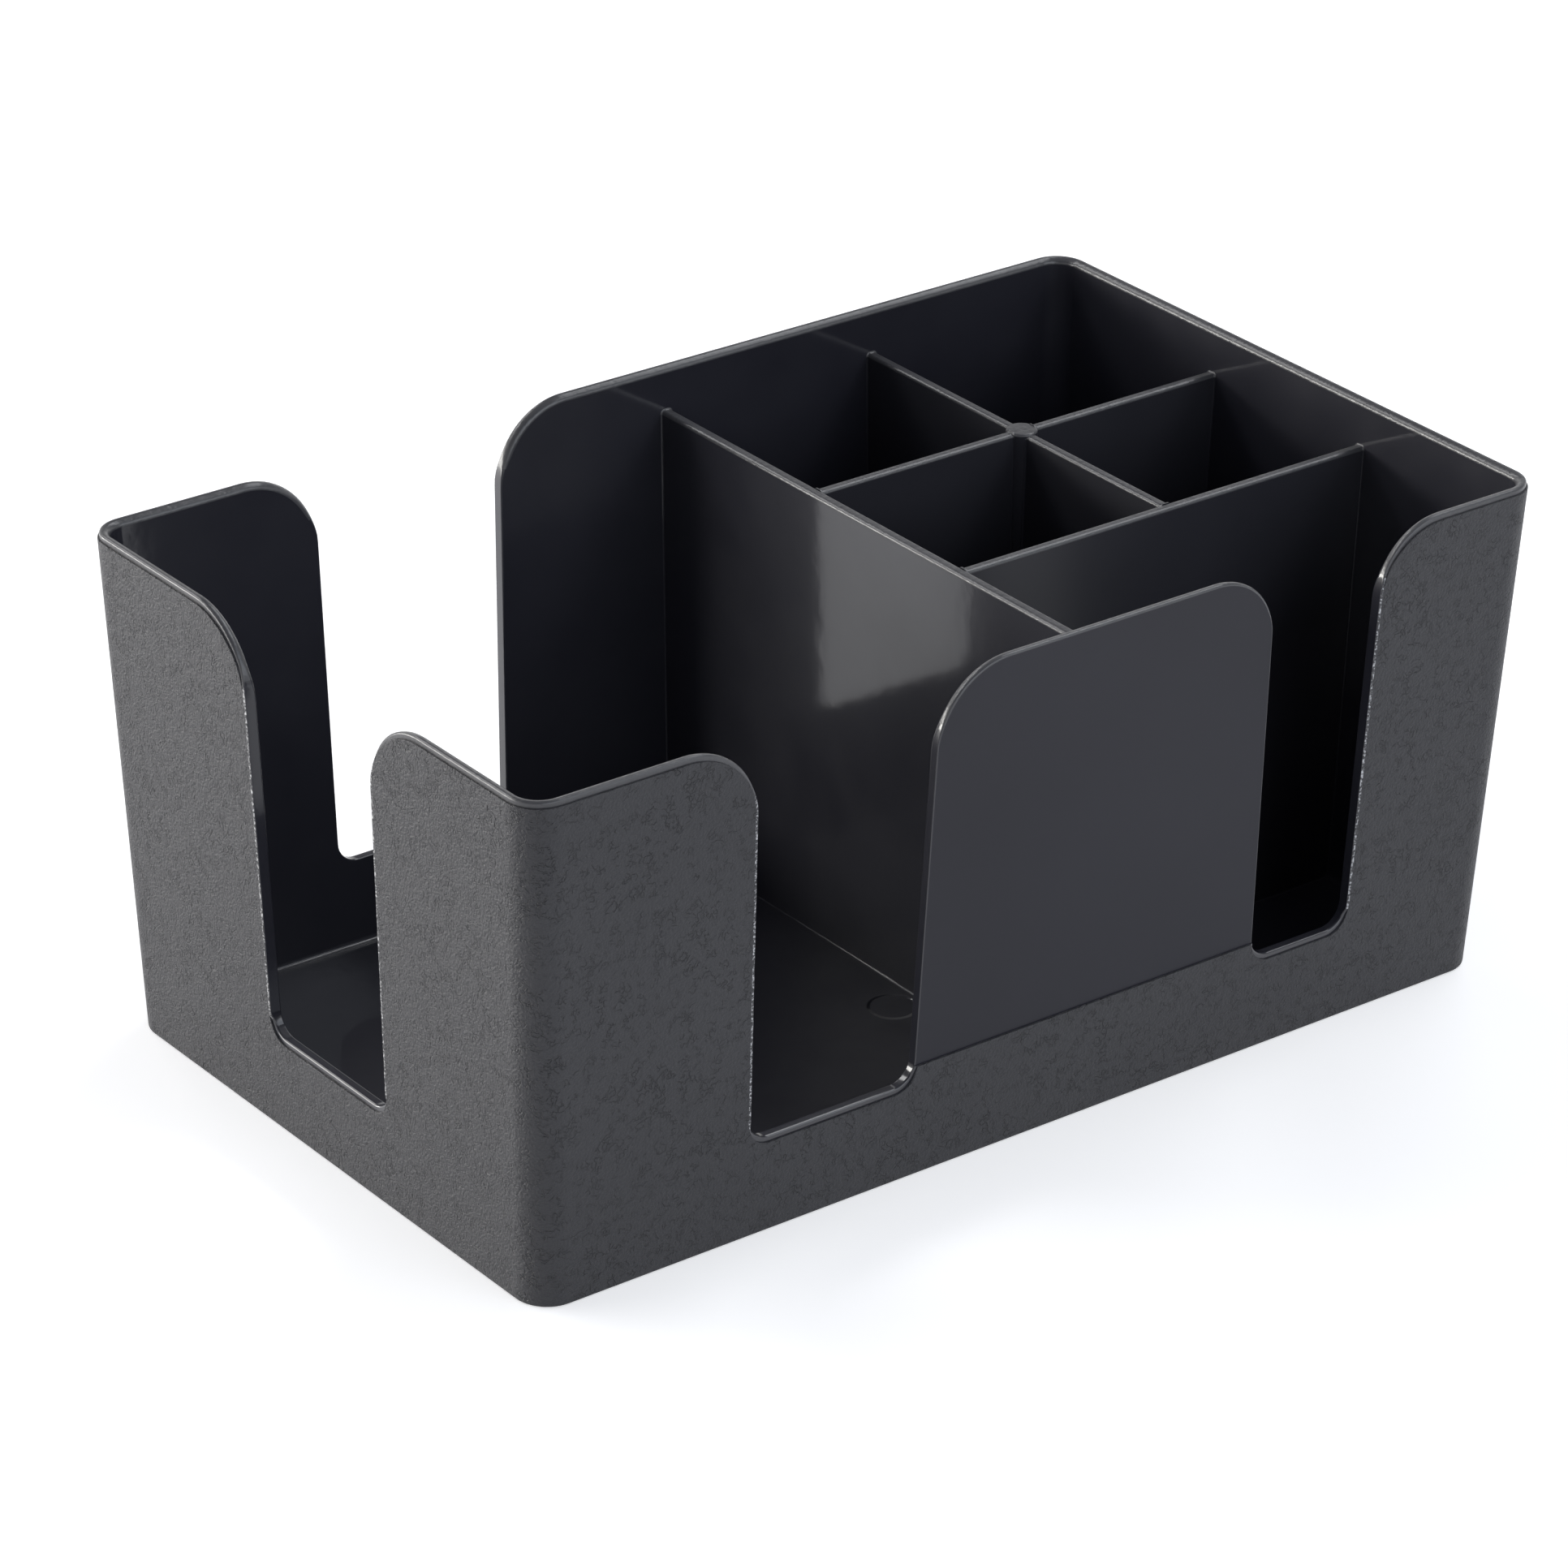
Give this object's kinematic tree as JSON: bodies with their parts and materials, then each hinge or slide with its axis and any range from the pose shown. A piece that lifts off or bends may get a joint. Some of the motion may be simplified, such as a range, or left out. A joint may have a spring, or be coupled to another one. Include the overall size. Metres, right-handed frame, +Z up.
{
  "type": "bar caddy",
  "caption": "Open-topped tapered plastic caddy for a bar top: a square napkin bay, a long front bay and square cells, with rounded finger slots cut down from the rim.",
  "frame": {"origin": "middle of the object's base, on the surface that it stands on", "axes": "+X along the length from the napkin bay to the small cells, +Y from the front with the two slots to the back, +Z up"},
  "size_m": [0.237, 0.1448, 0.1049],
  "materials": {
    "grained_shell": "charcoal plastic with a fine moulded leather grain outside",
    "polished_inside": "smooth near-black plastic, softly glossy"
  },
  "bodies": {
    "root": {"floor": "polished_inside", "front_wall": "grained_shell", "rear_wall": "grained_shell", "napkin_end_wall": "grained_shell", "cell_end_wall": "grained_shell", "napkin_partition": "polished_inside", "front_divider": "polished_inside", "rear_divider_left": "polished_inside", "rear_divider_right": "polished_inside", "cross_divider_front": "polished_inside", "cross_divider_rear": "polished_inside", "divider_hub": "polished_inside"}
  },
  "joints": []
}
